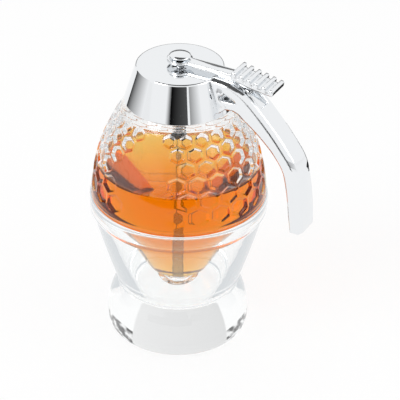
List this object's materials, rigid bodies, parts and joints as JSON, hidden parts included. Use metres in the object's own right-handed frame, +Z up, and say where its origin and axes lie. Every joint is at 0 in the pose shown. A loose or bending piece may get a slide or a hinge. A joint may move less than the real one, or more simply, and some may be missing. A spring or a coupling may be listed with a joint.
{
  "type": "honey dispenser",
  "caption": "Glass honey dispenser on a footed drip stand, with a chromed lid, a handle and a thumb lever that lifts a sprung rod to open the valve at the bottom.",
  "frame": {"origin": "centre of the foot's flat underside, on the jar's axis", "axes": "+Z up along the jar's axis, +X towards the handle, +Y to the left of a person who holds the handle and looks along -X"},
  "size_m": [0.1158, 0.0888, 0.1568],
  "materials": {
    "clear_glass": "clear, polished",
    "chrome_plate": "mirror-bright plate",
    "stainless_steel": "drawn, lightly polished",
    "white_plastic": "moulded, satin",
    "dark_plastic": "moulded, satin",
    "silicone": "translucent white, soft"
  },
  "bodies": {
    "stand": {"stand": "clear_glass"},
    "jar": {"jar": "clear_glass"},
    "lid": {"cap_shell": "chrome_plate", "thread_liner": "white_plastic", "lid_seal": "silicone", "guide_bush": "stainless_steel", "handle": "chrome_plate", "handle_screws": "stainless_steel", "pivot_pin": "stainless_steel", "return_spring": "stainless_steel"},
    "lever": {"lever": "chrome_plate"},
    "plunger": {"knob": "chrome_plate", "valve_rod": "stainless_steel", "spring_collar": "dark_plastic", "stopper_washer": "stainless_steel", "valve_stopper": "silicone"}
  },
  "joints": [
    {"name": "jar_lift", "type": "slide", "parent": "stand", "child": "jar", "axis": [0, 0, 1], "range_m": [0, 0.06]},
    {"name": "lid_lift", "type": "slide", "parent": "jar", "child": "lid", "axis": [0, 0, 1], "range_m": [0, 0.12]},
    {"name": "lever_press", "type": "hinge", "parent": "lid", "child": "lever", "pos_m": [0.0253, 0, 0.1459], "axis": [0, 1, 0], "range_deg": [0, 12]},
    {"name": "plunger_lift", "type": "slide", "parent": "lid", "child": "plunger", "axis": [0, 0, 1], "range_m": [0, 0.00596], "stiffness_N_per_m": 20, "springref_m": -0.004, "deforming": ["return_spring"]}
  ],
  "couplings": [
    {"joint": "lever_press", "follows": "plunger_lift", "rad_per_m": 35.09}
  ]
}
